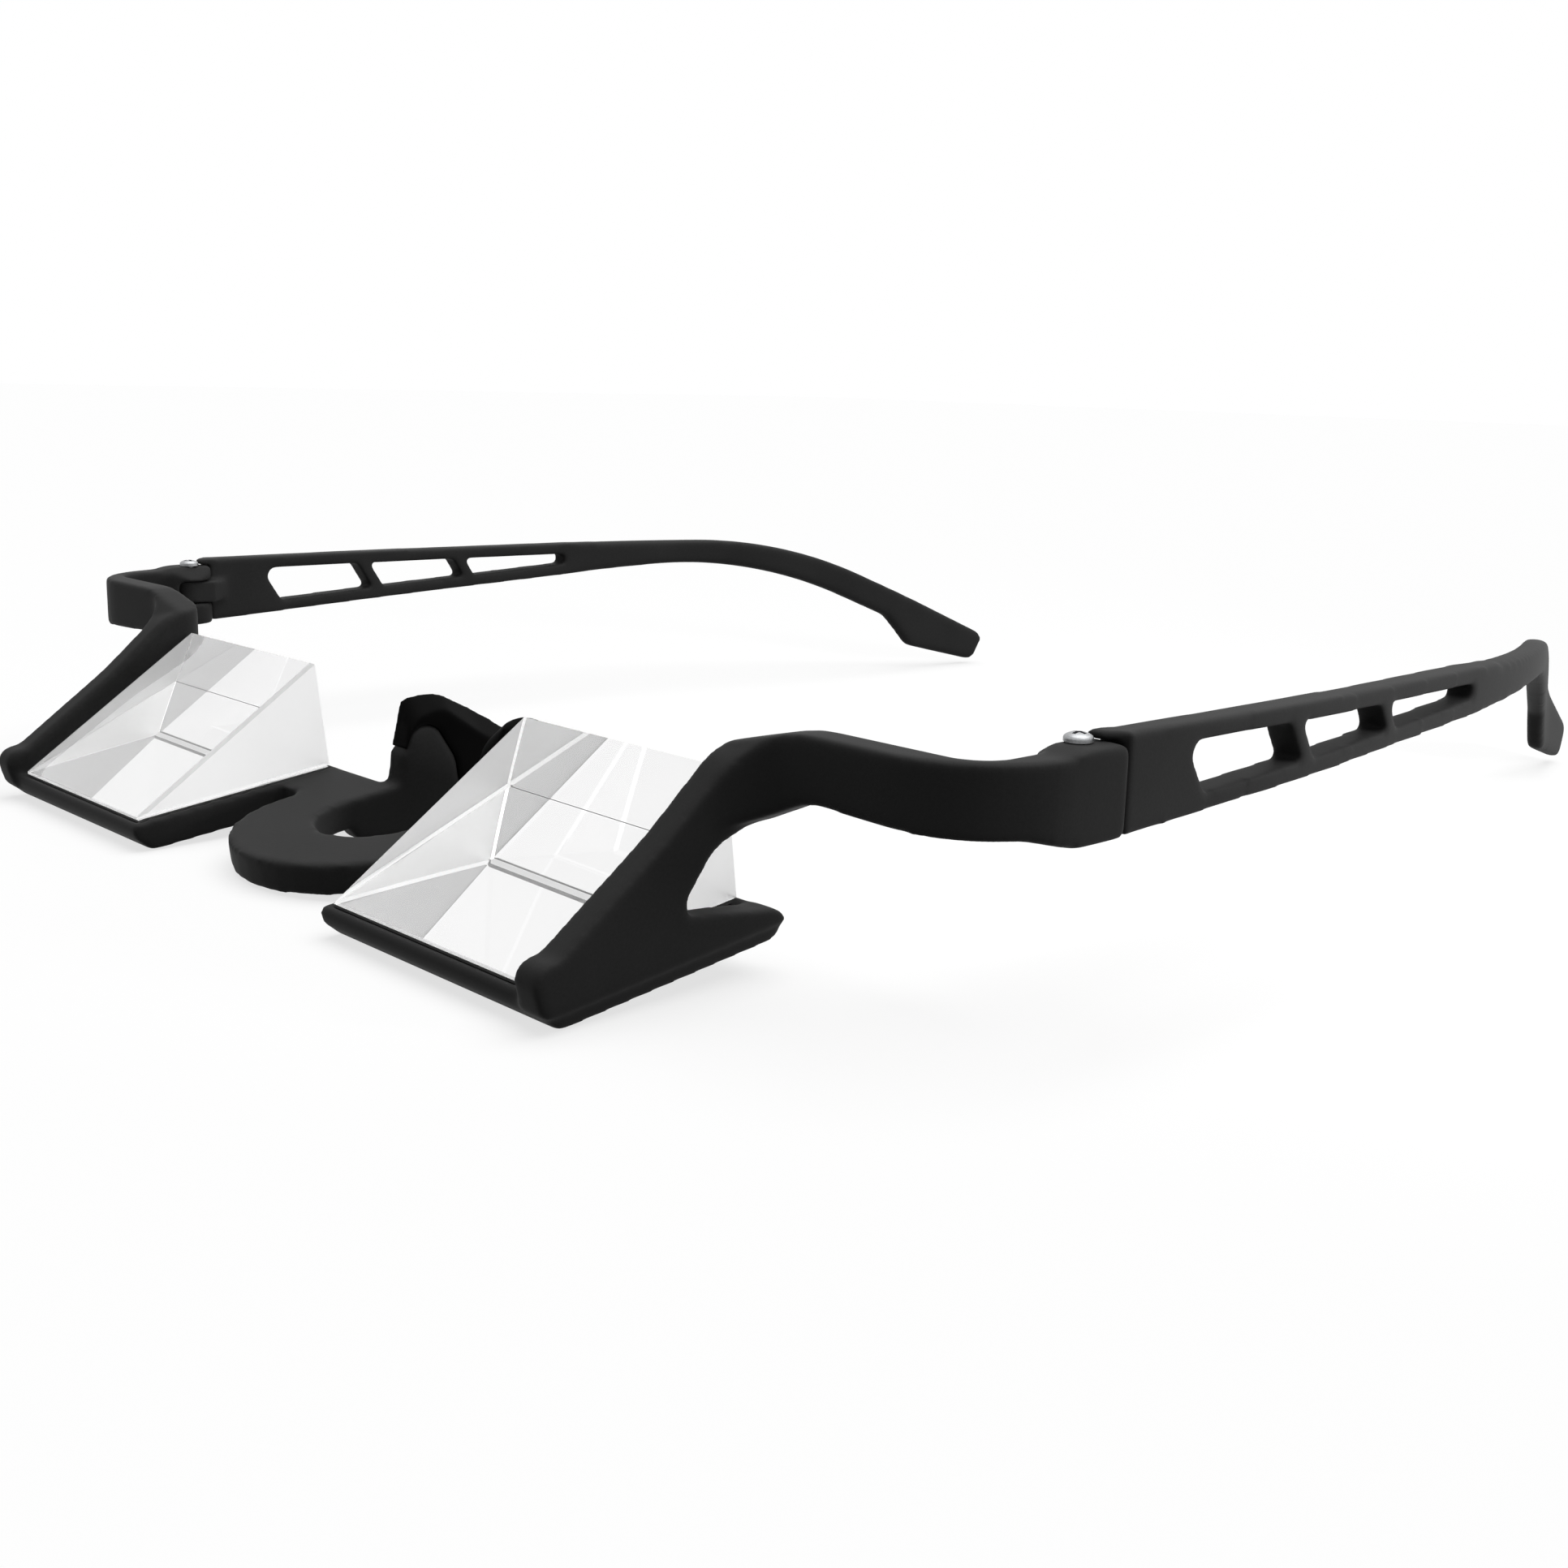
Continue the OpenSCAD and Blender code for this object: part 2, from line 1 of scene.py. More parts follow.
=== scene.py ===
# %% [markdown]
# Belay glasses, dressed around their solid model
#
# Two glass prisms with mirrored undersides turn the wearer's view upwards. They sit in a
# one-piece black moulding, and two black temples fold on small screws. This lesson takes the
# solid parts as they are, softens the moulded edges, grinds and polishes the glass, and gives
# each material its own finish. Everything is in metres. +X is the wearer's left, the front faces
# -Y, and the glasses stand on z = 0.

# %% Load the solid parts
import math
import bmesh
import bpy
import numpy as np
from mathutils import Matrix, Vector
from mathutils.bvhtree import BVHTree


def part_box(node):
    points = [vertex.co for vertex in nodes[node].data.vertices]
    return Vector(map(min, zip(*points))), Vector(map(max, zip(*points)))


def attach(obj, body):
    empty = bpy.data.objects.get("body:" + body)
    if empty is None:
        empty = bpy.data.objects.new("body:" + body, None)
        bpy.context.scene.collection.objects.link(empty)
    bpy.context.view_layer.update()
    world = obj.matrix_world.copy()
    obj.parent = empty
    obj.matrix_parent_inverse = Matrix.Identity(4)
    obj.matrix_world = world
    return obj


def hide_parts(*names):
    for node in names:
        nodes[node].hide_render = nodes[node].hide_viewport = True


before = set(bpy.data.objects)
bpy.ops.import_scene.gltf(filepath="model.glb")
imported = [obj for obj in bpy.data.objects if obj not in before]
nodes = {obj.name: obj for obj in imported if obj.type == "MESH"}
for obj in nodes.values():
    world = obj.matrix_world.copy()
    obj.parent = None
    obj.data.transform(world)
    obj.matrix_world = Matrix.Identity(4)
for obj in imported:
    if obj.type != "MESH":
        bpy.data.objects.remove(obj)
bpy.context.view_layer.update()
scene = bpy.context.scene
MM = 0.001
SIDES = ("left", "right")

# %% [markdown]
# Shader maths as plain sums
#
# A finish is mostly arithmetic on masks and noises. It could be clicked together, or written as
# one call for each Math node, but both hide that arithmetic. Here a small class wraps a socket,
# so that a sum such as 1 - mask builds its nodes by itself, and one method makes any other node.

# %% Wrap a socket
class Wire:
    """One output socket. Sums with numbers and other wires add Math nodes."""

    def __init__(self, finish, socket):
        self.finish, self.socket = finish, socket

    def sum(self, operation, *values):
        return self.finish.node("Math", {"operation": operation}, dict(enumerate(values)))

    def __add__(self, other):
        return self.sum("ADD", self, other)

    def __sub__(self, other):
        return self.sum("SUBTRACT", self, other)

    def __rsub__(self, other):
        return self.sum("SUBTRACT", other, self)

    def __mul__(self, other):
        return self.sum("MULTIPLY", self, other)

    __radd__ = __add__
    __rmul__ = __mul__


print("a socket can be added, subtracted and multiplied")


# %% Collect the nodes of a finish
class Finish:
    """The nodes of a material, or of the world, while they are being joined."""

    def __init__(self, owner):
        owner.use_nodes = True
        self.owner, self.tree = owner, owner.node_tree
        self.tree.nodes.clear()

    def node(self, kind, settings=None, inputs=None, output=0):
        """Any node. Its settings are set first, then each input gets its value or its link."""
        made = self.tree.nodes.new("ShaderNode" + kind)
        for name, value in (settings or {}).items():
            setattr(made, name, value)
        for name, value in (inputs or {}).items():
            if isinstance(value, Wire):
                self.tree.links.new(value.socket, made.inputs[name])
            else:
                made.inputs[name].default_value = value
        return Wire(self, made.outputs[output])

    def place(self):
        """Where a point lies on the piece, in millimetres. It travels with the piece."""
        here = self.node("TexCoord", output="Object")
        return self.node("VectorMath", {"operation": "SCALE"}, {0: here, "Scale": 1 / MM})

    def noise(self, place, size, detail, seed):
        """A soft noise from 0 to 1 whose blobs are about size millimetres across."""
        return self.node("TexNoise", {"noise_dimensions": "4D"},
                         {"Vector": place, "W": seed, "Scale": 1 / size, "Detail": detail})

    def bumps(self, height, strength, lift):
        """A surface that rises by up to lift metres where height is 1."""
        return self.node("Bump", None, {"Height": height, "Strength": strength, "Distance": lift},
                         output="Normal")

    def between(self, low, high, mask):
        """A grey or colour from low to high as mask goes from 0 to 1."""
        return self.node("Mix", {"data_type": "RGBA", "clamp_factor": True},
                         {"Factor": mask, 6: rgba(low), 7: rgba(high)}, output=2)

    def share(self, wire):
        """The same number, held between 0 and 1."""
        return self.node("Clamp", None, {"Value": wire, "Min": 0.0, "Max": 1.0})

    def seen(self):
        """1 for what is seen directly, mirrored or through glass, 0 for light on matte faces."""
        camera, glossy, through, scattered = (
            self.node("LightPath", output=name) for name in
            ("Is Camera Ray", "Is Glossy Ray", "Is Transmission Ray", "Diffuse Depth"))
        return self.share(camera + glossy + through) * (1 - self.share(scattered))

    def ends_in(self, surface, output="Material"):
        end = self.tree.nodes.new("ShaderNodeOutput" + output)
        self.tree.links.new(surface.socket, end.inputs["Surface"])
        return self.owner


def new_finish(name):
    return Finish(bpy.data.materials.new(name))


def rgba(colour):
    if isinstance(colour, (int, float)):
        colour = (colour,) * 3
    return (*colour, 1.0)


print("a finish can hold places, noises, bumps and mixes")

# %% [markdown]
# Soft-touch black
#
# The frame and temples are moulded in black nylon with a matte, slightly rubbery skin. Up close
# it has a fine spark-eroded grain, and over a few centimetres the sheen drifts a little. One flat
# dark grey would be quicker, but would look like paint. So a slow noise and a grain a fifth of a
# millimetre across move the colour and the roughness, and the grain also lifts the surface
# through a Bump node.

# %% Make the moulded black
PLASTIC_IOR = 1.5
GRAIN_SIZE, DRIFT_SIZE = 0.22, 9.0  # millimetres
DRIFT_PART = 0.6  # how much of the shade the slow noise makes
GRAIN_LIFT = 0.012 * MM
BLACK_LOW, BLACK_HIGH = 0.6, 1.5  # shares of the body colour


def soft_touch_black(name, seed, body):
    finish = new_finish(name)
    place = finish.place()
    grain = finish.noise(place, GRAIN_SIZE, 3.0, seed)
    drift = finish.noise(place, DRIFT_SIZE, 2.0, seed + 3)
    shade = DRIFT_PART * drift + (1 - DRIFT_PART) * grain
    surface = finish.node("BsdfPrincipled", None, {
        "Base Color": finish.between(body * BLACK_LOW, body * BLACK_HIGH, shade),
        "Roughness": 0.50 + 0.16 * shade, "Normal": finish.bumps(grain, 0.8, GRAIN_LIFT),
        "Specular IOR Level": 0.05, "IOR": PLASTIC_IOR})
    return finish.ends_in(surface)


frame_black = soft_touch_black("frame_soft_touch_black", 1.0, 0.027)
temple_black = soft_touch_black("temple_soft_touch_black", 5.0, 0.031)
print("moulded blacks:", frame_black.name, temple_black.name)

# %% [markdown]
# Rubber, adhesive, mirror and metals
#
# The nose pads are a softer and deeper black than the frame. The adhesive under each mirror only
# shows as a thin dark line. The mirror is evaporated metal, so it is all reflection. The screws
# are steel with fine grinding marks, rougher inside the recess and painted dark there as painted
# shade, and the threaded sleeves are brass.
# Each could be a material of its own from scratch. But rubber and adhesive differ only in a few
# numbers, and so do the metals, so one recipe serves each family.

# %% Make the rubber and the adhesive
SKIN_SIZE, PATCH_SIZE = 0.35, 4.0  # millimetres
SKIN_LIFT = 0.01 * MM
RUBBER_LOW, RUBBER_HIGH = 0.6, 1.4


def rubber(name, seed, body, roughness, gloss):
    finish = new_finish(name)
    place = finish.place()
    skin = finish.noise(place, SKIN_SIZE, 2.0, seed)
    patches = finish.noise(place, PATCH_SIZE, 1.0, seed + 1)
    surface = finish.node("BsdfPrincipled", None, {
        "Base Color": finish.between(body * RUBBER_LOW, body * RUBBER_HIGH, patches),
        "Roughness": roughness + 0.12 * patches, "Normal": finish.bumps(skin, 0.5, SKIN_LIFT),
        "Specular IOR Level": gloss, "IOR": PLASTIC_IOR})
    return finish.ends_in(surface)


pad_rubber = rubber("nose_pad_rubber", 11.0, body=0.003, roughness=0.5, gloss=0.02)
adhesive = rubber("mirror_adhesive", 14.0, body=0.03, roughness=0.6, gloss=0.3)
print("rubbers:", pad_rubber.name, adhesive.name)


# %% Make the mirror coat and the metals
def metal(name, seed, colour, roughness, mark_size, spread, tone):
    """Marks darken the colour by up to tone and roughen it by up to spread."""
    finish = new_finish(name)
    marks = finish.noise(finish.place(), mark_size, 3.0, seed)
    surface = finish.node("BsdfPrincipled", None, {
        "Base Color": finish.between([c * (1 - tone) for c in colour], colour, marks),
        "Roughness": roughness + spread * marks, "Metallic": 1.0})
    return finish.ends_in(surface)


mirror_coat = metal("mirror_coat", 21.0, (0.98, 0.98, 0.98),
                    roughness=0.0, mark_size=6.0, spread=0.0, tone=0.02)
screw_steel = metal("screw_steel", 24.0, (0.50, 0.51, 0.52),
                    roughness=0.32, mark_size=0.12, spread=0.16, tone=0.6)
# Inside the cross recess the steel is painted nearly black, as painted shade
recess_painted_shade = metal("screw_recess_steel", 25.0, (0.10, 0.10, 0.11),
                     roughness=0.45, mark_size=0.12, spread=0.1, tone=0.4)
insert_brass = metal("insert_brass", 27.0, (0.78, 0.57, 0.30),
                     roughness=0.26, mark_size=0.3, spread=0.15, tone=0.1)
print("metals:", mirror_coat.name, screw_steel.name, recess_painted_shade.name, insert_brass.name)

# %% [markdown]
# Polished and ground glass
#
# The prisms are clear optical glass. The slanted face, the rear face and the coated underside
# are polished, and the two ends are only ground, so they look pale and even from outside and
# from within. The edges are broken by narrow strips, which show as lines also through the glass:
# most are bright, the upper one is grey, and the lowest is dark. The right prism's sloping inner
# strip is the same as the left one's, which is bright, but it is made grey as painted shade. One
# glass material for all of it would show none of this. So there are five finishes: a clear one,
# whose wiping marks are too faint to blur anything, three that scatter light as they let it
# through, and the adhesive. The ends glow faintly, in place of the light that many more bounces
# inside would bring.

# %% Make the glass finishes
GLASS_IOR = 1.52
WIPE_SIZE, CLOUD_SIZE = 7.0, 2.5  # millimetres
WIPE_SPREAD = 0.003


def polished_finish(name, seed):
    finish = new_finish(name)
    wiping = finish.noise(finish.place(), WIPE_SIZE, 2.0, seed)
    surface = finish.node("BsdfPrincipled", None, {
        "Base Color": rgba(1.0), "Roughness": WIPE_SPREAD * wiping,
        "Transmission Weight": 1.0, "IOR": GLASS_IOR})
    return finish.ends_in(surface)


def ground_finish(name, seed, pale, roughness, through, cloudy=0.94, glow=0.0):
    """Clouds take the pale grey down to its cloudy share."""
    finish = new_finish(name)
    clouds = finish.noise(finish.place(), CLOUD_SIZE, 3.0, seed)
    surface = finish.node("BsdfPrincipled", None, {
        "Base Color": finish.between(pale * cloudy, pale, clouds),
        "Roughness": roughness + 0.1 * clouds, "Transmission Weight": through,
        "IOR": GLASS_IOR, "Emission Color": rgba(1.0), "Emission Strength": glow})
    return finish.ends_in(surface)


GLASS_FINISHES = (
    polished_finish("prism_polished_glass", 31.0),
    ground_finish("prism_ground_glass", 34.0, pale=0.98, roughness=0.45, through=0.85, glow=0.09),
    ground_finish("prism_bright_edge", 36.0, pale=1.0, roughness=0.1, through=1.0, cloudy=0.99),
    ground_finish("prism_grey_edge", 38.0, pale=0.75, roughness=0.45, through=0.9),
    adhesive)
POLISHED, GROUND, BRIGHT, GREY, DARK = range(len(GLASS_FINISHES))
print("glass:", [finish.name for finish in GLASS_FINISHES])

# %% [markdown]
# Softening the moulded edges
#
# Every outside edge of the mouldings is rounded by about a millimetre, but the solid parts are
# cut sharp. A Bevel modifier could round them, but it trips over the many short facets of their
# curves. A voxel remesh turns the part into an even skin of small quads instead, and smoothing
# that skin rounds all edges alike. The smoothing is done here with numpy, so that it can be held
# back near the glass seats and the hinge screws, which have to stay true.

# %% Remesh one part
WELD_GAP = 1e-6  # metres


def placed(name, data):
    """A new object that shows in the scene."""
    made = bpy.data.objects.new(name, data)
    scene.collection.objects.link(made)
    return made


def with_modifiers(source):
    """The mesh that an object's modifiers make."""
    graph = bpy.context.evaluated_depsgraph_get()
    return bpy.data.meshes.new_from_object(source.evaluated_get(graph))


def even_skin(node, voxel):
    """The node as an even skin of quads: points in metres, and a mesh to write them back to."""
    source = placed("skin", nodes[node].data.copy())
    weld = source.modifiers.new("weld", "WELD")
    weld.merge_threshold = WELD_GAP
    remesh = source.modifiers.new("remesh", "REMESH")
    remesh.mode, remesh.voxel_size = "VOXEL", voxel
    mesh = with_modifiers(source)
    mesh.materials.clear()
    bpy.data.objects.remove(source)
    points = np.empty(len(mesh.vertices) * 3)
    mesh.vertices.foreach_get("co", points)
    return points.reshape(-1, 3), mesh


print("the solid front frame has", len(nodes["front_frame"].data.polygons), "faces")

# %% Smooth it where it may move
SMOOTHING_STEP = 0.5


def smoothed(points, mesh, passes, weight):
    """Moves each point towards the middle of its neighbours, passes times, weight from 0 to 1."""
    ends = np.empty(len(mesh.edges) * 2, int)
    mesh.edges.foreach_get("vertices", ends)
    a, b = ends.reshape(-1, 2).T
    count = len(points)
    near = np.maximum(np.bincount(a, minlength=count) + np.bincount(b, minlength=count), 1)
    for _ in range(passes):
        total = np.stack([np.bincount(a, points[b, k], count)
                          + np.bincount(b, points[a, k], count) for k in range(3)], 1)
        middle = total / near[:, None]
        points = points + SMOOTHING_STEP * weight[:, None] * (middle - points)
    return points


def away_from(points, names, start, end):
    """0 within start millimetres of these parts' surfaces, 1 beyond end, and a ramp between."""
    trees = [BVHTree.FromObject(nodes[n], bpy.context.evaluated_depsgraph_get()) for n in names]
    distance = np.array([min(t.find_nearest(p)[3] for t in trees) for p in points]) / MM
    return np.clip((distance - start) / (end - start), 0, 1)


def shaded_smooth(mesh, points):
    mesh.vertices.foreach_set("co", points.ravel())
    mesh.update()
    mesh.polygons.foreach_set("use_smooth", np.ones(len(mesh.polygons), bool))
    return mesh


print("each pass moves a point by up to", SMOOTHING_STEP, "of its way to the middle")


# %% Stand a finished mesh in for a solid part
def dress(node, name, mesh, body, slot, *finishes):
    """The mesh replaces the node, rides on a body and takes the finishes it is given.

    Of the pieces made here, only the glass shows through the glass, which holds the white room.
    """
    made = placed(name, mesh)
    for finish in finishes:
        mesh.materials.append(finish)
    made.visible_transmission = slot == "prism_glass"
    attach(made, body)
    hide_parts(node)
    print(made.name, "on", body, "with", len(mesh.polygons), "faces")


# %% [markdown]
# The front frame
#
# One moulding holds both trays, the nose plate and wings, the side walls and the arms out to
# the hinges. It could be built as several soft pieces, but then seams would show where the real
# one has none. So it is softened as a whole, everywhere but at the glass seats and around the
# screws.

# %% Soften the front frame
FRAME_VOXEL, FRAME_PASSES = 0.28 * MM, 9
SEAT_HELD, SCREW_HELD = (0.25, 1.1), (0.7, 2.0)  # millimetres from the glass and the screws

points, mesh = even_skin("front_frame", FRAME_VOXEL)
seats = away_from(points, ["prism_left", "prism_right"], *SEAT_HELD)
bores = away_from(points, ["hinge_screw_left", "hinge_screw_right"], *SCREW_HELD)
points = smoothed(points, mesh, FRAME_PASSES, seats * bores)
dress("front_frame", "front_frame_moulding", shaded_smooth(mesh, points),
      "front", "frame_black", frame_black)

# %% [markdown]
# The temples
#
# Each temple is a long strip with three cut-outs, a downward bend and a paddle at its tip. With
# the same smoothing all over, the webs between the cut-outs would get thin, or the ear hook
# would stay sharp. So the strip is softened a little less than the frame, its front edge at the
# hinge seam is held, and the part behind the last cut-out gets more passes.

# %% Soften the temples
TEMPLE_VOXEL, TEMPLE_PASSES, EAR_PASSES = 0.26 * MM, 8, 24
BORE_HELD = (0.3, 0.9)  # millimetres from the screw
SEAM, SEAM_RAMP = -48, 1  # where the front edge ends, y in millimetres
LAST_CUTOUT, EAR_RAMP = 10, 6  # where the last cut-out ends


def behind(points, start, ramp):
    """0 in front of start, 1 from ramp millimetres behind it."""
    return np.clip((points[:, 1] / MM - start) / ramp, 0, 1)


for side in SIDES:
    points, mesh = even_skin(f"temple_{side}", TEMPLE_VOXEL)
    bores = away_from(points, [f"hinge_screw_{side}"], *BORE_HELD)
    points = smoothed(points, mesh, TEMPLE_PASSES, bores * behind(points, SEAM, SEAM_RAMP))
    points = smoothed(points, mesh, EAR_PASSES, behind(points, LAST_CUTOUT, EAR_RAMP))
    dress(f"temple_{side}", f"temple_{side}_moulding", shaded_smooth(mesh, points),
          f"{side}_temple", "frame_black", temple_black)

# %% [markdown]
# The nose pads
#
# A rubber hood is pulled over each wing and ends in a thin leaf behind it, which fans out
# towards its end. A subdivision surface could give this form, but it would need a cage for every
# corner of the hood. The same remesh and smoothing keep the solid's outline and round it all
# over, as dipped rubber is.

# %% Soften the nose pads
PAD_VOXEL, PAD_PASSES = 0.2 * MM, 10

for side in SIDES:
    points, mesh = even_skin(f"nose_pad_{side}", PAD_VOXEL)
    points = smoothed(points, mesh, PAD_PASSES, np.ones(len(points)))
    dress(f"nose_pad_{side}", f"nose_pad_{side}_hood", shaded_smooth(mesh, points),
          "front", "pad_rubber", pad_rubber)

# %% [markdown]
# The glass prisms
#
# Each prism is a wedge with flat polished faces and narrow ground strips along its edges. Glass
# shows every wobble, so remeshing is out, and a Bevel modifier can't give each strip its own
# width and finish. So the wedge is made as in the workshop: the planes of the solid part's five
# faces are measured, and a block is cut down by one plane after the other. The underside reaches
# a hundredth of a millimetre into the mirror coat. Light then meets the metal while it is still
# inside the glass, as it does on a real coated face.

# %% Find the prism's five faces
COAT_OVERLAP = 0.01 * MM
FLAT_ANGLE = math.radians(0.5)  # triangles that differ by less lie in one face
FACING = 0.9  # least share of a normal that points a face's way


def main_planes(node):
    """The five large faces of a prism as {name: (point, outward normal)}."""
    shape = bmesh.new()
    shape.from_mesh(nodes[node].data)
    bmesh.ops.remove_doubles(shape, verts=shape.verts, dist=WELD_GAP)
    bmesh.ops.dissolve_limit(shape, angle_limit=FLAT_ANGLE, verts=shape.verts, edges=shape.edges)
    shape.normal_update()
    planes = {}
    for face in sorted(shape.faces, key=lambda f: -f.calc_area())[:5]:
        across, back, up = face.normal
        middle = face.calc_center_median().copy()
        if abs(across) > FACING:
            name = "inner" if across * middle.x < 0 else "outer"
        elif up < -FACING:
            name = "under"
        else:
            name = "rear" if back > FACING else "slope"
        planes[name] = (middle, face.normal.copy())
    shape.free()
    under, down = planes["under"]
    planes["under"] = (under + down * COAT_OVERLAP, down)
    return planes


for name, (_, normal) in main_planes("prism_left").items():
    print("left prism,", name, "faces", [round(part, 2) for part in normal])

# %% Add the strips that break its edges
INNER_BREAK, OUTER_BREAK = 0.5 * MM, 0.05 * MM
UPPER_BREAK, LOWER_BREAK = 0.6 * MM, 0.07 * MM
BREAK_SHARE = {"slope": 1.0, "under": 1.3, "rear": 0.6}  # of an end's break, by the face it meets
TOE_CUT = 0.02 * MM


def edge_plane(first, second, width):
    """The plane that breaks the edge between two faces by a strip of this width."""
    (p, n), (q, m) = first, second
    along = n.cross(m)
    edge = Matrix((n, m, along)).inverted() @ Vector((n.dot(p), m.dot(q), along.dot(p)))
    middle = (n + m).normalized()
    half = math.acos(n.dot(m)) / 2
    return edge - middle * (width / 2 * math.tan(half)), middle


def wedge_cuts(node):
    """All the planes that bound a prism, as {name: (point, outward normal)}."""
    planes = main_planes(node)
    cuts = dict(planes)
    for end, width in (("inner", INNER_BREAK), ("outer", OUTER_BREAK)):
        for other, share in BREAK_SHARE.items():
            cuts[f"{end} {other}"] = edge_plane(planes[end], planes[other], width * share)
    cuts["upper"] = edge_plane(planes["slope"], planes["rear"], UPPER_BREAK)
    cuts["lower"] = edge_plane(planes["under"], planes["rear"], LOWER_BREAK)
    cuts["toe"] = Vector((0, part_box(node)[0].y + TOE_CUT, 0)), Vector((0, -1, 0))
    return cuts


print("cuts for each prism:", sorted(wedge_cuts("prism_left")))

# %% Cut the prisms plane by plane
BLOCK, SAME_POINT = 0.2, 1e-7  # metres
# The strips that aren't named here are bright
FACE_FINISH = {"slope": POLISHED, "rear": POLISHED, "under": POLISHED, "inner": GROUND,
               "outer": GROUND, "toe": GROUND, "upper": GREY, "lower": DARK}
# The right prism's sloping inner strip is made grey as painted shade: from outside it shows as
# a greyer band, while the same strip on the left prism is bright
SIDE_FINISH = {"left": FACE_FINISH, "right": {**FACE_FINISH, "inner slope": GREY}}


def mesh_from(shape, name):
    mesh = bpy.data.meshes.new(name)
    shape.to_mesh(mesh)
    shape.free()
    return mesh


def glass_wedge(node, finishes):
    """A block cut down by one plane after the other, each new face closed and given its finish."""
    cuts = wedge_cuts(node)
    low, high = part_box(node)
    shape = bmesh.new()
    bmesh.ops.create_cube(shape, size=BLOCK)
    bmesh.ops.translate(shape, verts=shape.verts, vec=(low + high) / 2)
    for name, (point, normal) in cuts.items():
        bmesh.ops.bisect_plane(shape, geom=shape.verts[:] + shape.edges[:] + shape.faces[:],
                               plane_co=point, plane_no=normal, clear_outer=True,
                               dist=SAME_POINT)
        rim = [edge for edge in shape.edges if edge.is_boundary]
        if rim:
            for face in bmesh.ops.contextual_create(shape, geom=rim)["faces"]:
                face.material_index = finishes.get(name, BRIGHT)
    bmesh.ops.remove_doubles(shape, verts=shape.verts, dist=SAME_POINT)
    bmesh.ops.recalc_face_normals(shape, faces=shape.faces)
    return mesh_from(shape, node + "_glass")


for side in SIDES:
    dress(f"prism_{side}", f"prism_{side}_glass", glass_wedge(f"prism_{side}", SIDE_FINISH[side]),
          "front", "prism_glass", *GLASS_FINISHES)

# %% [markdown]
# Mirrors, adhesive and sleeves
#
# The mirror coats and the adhesive are thin flat sheets, and the threaded sleeves are short
# tubes inside the hinges. Meshes of their own would add nothing that shows, so the solid parts
# stay and only get their finishes.

# %% Finish the parts that keep their shape
def refinish(node, material):
    data = nodes[node].data
    data.materials.clear()
    data.materials.append(material)


for side in SIDES:
    refinish(f"mirror_layer_{side}", mirror_coat)
    refinish(f"bond_layer_{side}", adhesive)
    refinish(f"hinge_insert_{side}", insert_brass)
    nodes[f"hinge_insert_{side}"].visible_transmission = False
print("mirrors, adhesive and sleeves keep their solid shapes")

# %% [markdown]
# The hinge screws
#
# Each temple turns on a small pan-head screw with a cross recess. The solid part has a flat
# head. A Bevel modifier could round its rim, but a pan head swells to its middle. So the head
# gets its crown here as on a lathe: the profile is turned about the screw's axis, and a
# cross-shaped cutter takes out the recess.

# %% Turn a profile
ON_AXIS = 1e-9  # metres
LATHE_STEPS = 48


def lathe(profile, middle):
    """A closed turned shape from (radius, height) pairs, first and last on the axis."""
    shape = bmesh.new()
    rings = []
    for radius, height in profile:
        steps = LATHE_STEPS if radius > ON_AXIS else 1
        turns = [math.tau * k / LATHE_STEPS for k in range(steps)]
        rings.append([shape.verts.new(middle + Vector((radius * math.cos(turn),
                                                       radius * math.sin(turn), height)))
                      for turn in turns])
    for low, high in zip(rings, rings[1:]):
        for k in range(LATHE_STEPS):
            n = (k + 1) % LATHE_STEPS
            corners = [low[k % len(low)], low[n % len(low)], high[n % len(high)],
                       high[k % len(high)]]
            shape.faces.new(list(dict.fromkeys(corners)))
    bmesh.ops.recalc_face_normals(shape, faces=shape.faces)
    return shape


print("each ring has", LATHE_STEPS, "corners")

# %% Draw the screw's profile
SHANK_R, HEAD_H, RIM_H = 0.7 * MM, 0.8 * MM, 0.07 * MM
PITCH, THREADS, TIP_H = 0.4 * MM, 8, 0.25 * MM
ROOT, CREST, TIP = 0.84, 0.98, 0.62  # shares of the shank's radius
SEAT, EDGE = 0.93, 0.42  # share of the head's radius underneath, and of its height at the rim
CROWN_STEPS = 9


def screw_profile(head_r, bottom, top):
    """(radius, height) pairs from the tip up to the middle of the crown."""
    seat, thread_start = top - HEAD_H, bottom + TIP_H
    thread = []
    for k in range(THREADS):
        z = thread_start + k * PITCH
        thread += [(SHANK_R * ROOT, z), (SHANK_R * CREST, z + PITCH / 2)]
    crown = [(head_r * math.cos(t), seat + HEAD_H * (EDGE + (1 - EDGE) * math.sin(t)))
             for t in np.linspace(0, math.pi / 2, CROWN_STEPS)]
    crown[-1] = (0.0, top)
    return ([(0.0, bottom), (SHANK_R * TIP, bottom)] + thread
            + [(SHANK_R * CREST, thread_start + THREADS * PITCH), (SHANK_R * CREST, seat),
               (head_r * SEAT, seat), (head_r, seat + RIM_H)] + crown)


print("thread length in mm:", round(THREADS * PITCH / MM, 1))

# %% Cut the cross recess
# Half length, half width and height over the head, in millimetres, of the cutter's two ends
RECESS_ENDS = ((0.38, 0.12, -0.46), (0.80, 0.19, 0.1))
RECESS = 1  # the place of its finish in the screw's list


